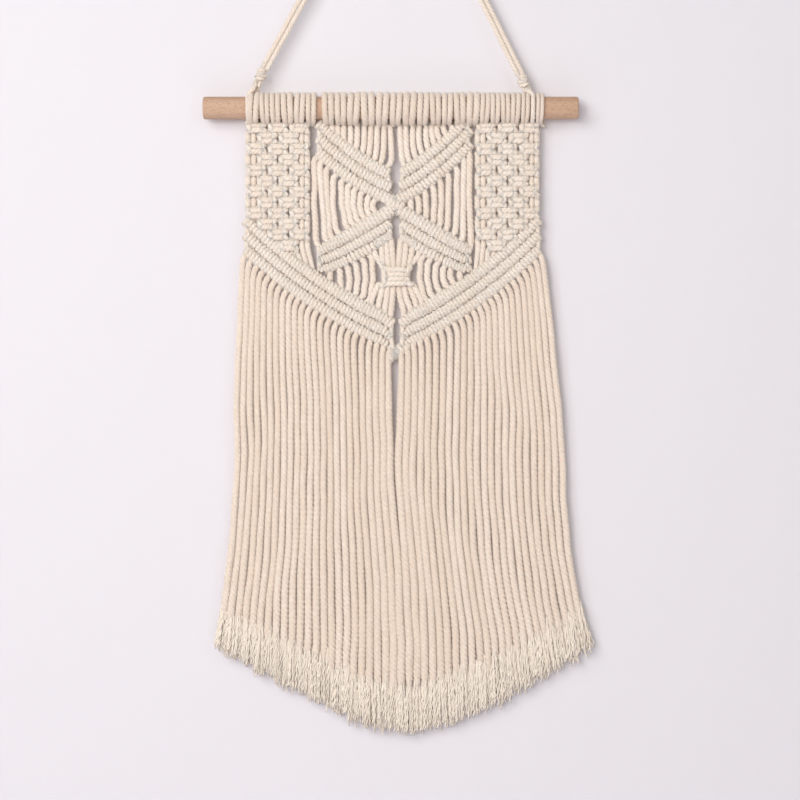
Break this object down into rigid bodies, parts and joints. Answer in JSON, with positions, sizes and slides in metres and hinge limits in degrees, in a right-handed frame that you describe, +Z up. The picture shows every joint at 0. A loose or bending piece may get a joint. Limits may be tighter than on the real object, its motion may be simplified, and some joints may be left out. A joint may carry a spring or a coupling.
{
  "type": "macrame wall hanging on dowel",
  "caption": "Cream cotton macrame wall hanging with square-knot net sides, hitched diagonal bands and a long fringe, on a beech dowel.",
  "frame": {"origin": "the hanging point: the underside of the hanging cord where it bears on a nail, above the middle of the panel", "axes": "+X to the viewer's right along the dowel, +Y back towards the wall, +Z up"},
  "size_m": [0.318, 0.0256, 0.7102],
  "materials": {
    "beech": "plain sanded beech, not varnished",
    "cotton": "natural undyed three-ply twisted cotton cord, matt"
  },
  "bodies": {
    "root": {"dowel": "beech", "heading": "cotton", "knotwork": "cotton", "fringe": "cotton", "hanging_cord": "cotton", "cord_knot_left": "cotton", "cord_knot_right": "cotton"}
  },
  "joints": []
}
